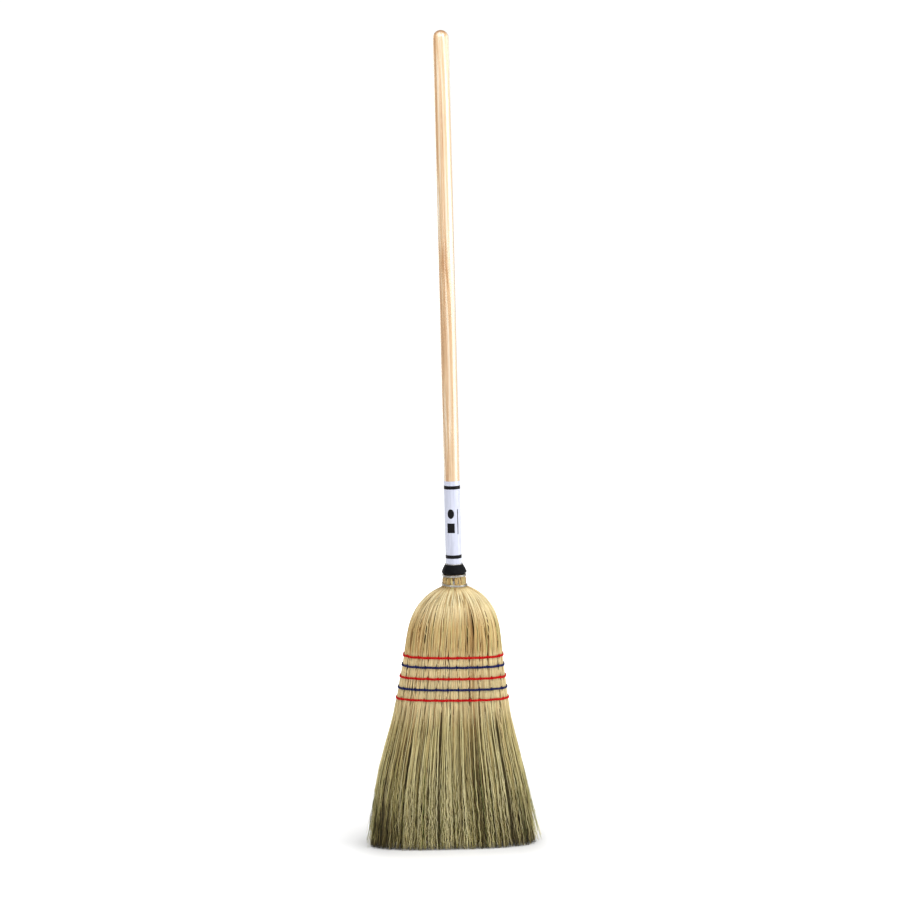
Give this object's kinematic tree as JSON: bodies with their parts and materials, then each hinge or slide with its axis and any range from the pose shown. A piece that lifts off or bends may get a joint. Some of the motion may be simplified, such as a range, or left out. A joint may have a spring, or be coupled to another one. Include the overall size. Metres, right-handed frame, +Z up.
{
  "type": "curling broom",
  "caption": "Corn broom for curling: wooden handle with label sleeve and boot, wire-wound neck, twine-stitched straw that flares to a flat sweeping edge.",
  "frame": {"origin": "on the floor, under the handle's axis", "axes": "+Z up along the handle's axis, X across the broom's flat sides, -Y out of its front"},
  "size_m": [0.3003, 0.0702, 1.422],
  "materials": {
    "varnished_wood": "gloss",
    "white_label": "gloss",
    "black_boot": "matte",
    "bright_wire": "polished",
    "nail_steel": "satin",
    "pale_straw": "matte",
    "green_straw": "matte",
    "red_twine": "matte",
    "navy_twine": "matte"
  },
  "bodies": {
    "broom": {"handle": "varnished_wood", "label_sleeve": "white_label", "neck_boot": "black_boot", "boot_wire": "bright_wire", "neck_wire": "bright_wire", "shoulder_wire": "bright_wire", "core_wire": "bright_wire", "wing_wire": "bright_wire", "start_nail": "nail_steel", "finish_nail": "nail_steel", "inside_straw": "pale_straw", "left_wing_straw": "pale_straw", "right_wing_straw": "pale_straw", "front_hurl": "pale_straw", "back_hurl": "pale_straw", "stitch_row_1": "red_twine", "stitch_row_2": "navy_twine", "stitch_row_3": "red_twine", "stitch_row_4": "navy_twine", "stitch_row_5": "red_twine"},
    "sweep": {"front_sweep": "green_straw", "back_sweep": "green_straw", "inside_sweep": "green_straw", "left_sweep": "green_straw", "right_sweep": "green_straw"}
  },
  "joints": [
    {"name": "sweep_flex", "type": "hinge", "parent": "broom", "child": "sweep", "pos_m": [-0.00934, 0, 0.262], "axis": [1, 0, 0], "range_deg": [-20, 20], "stiffness_Nm_per_rad": 6}
  ]
}
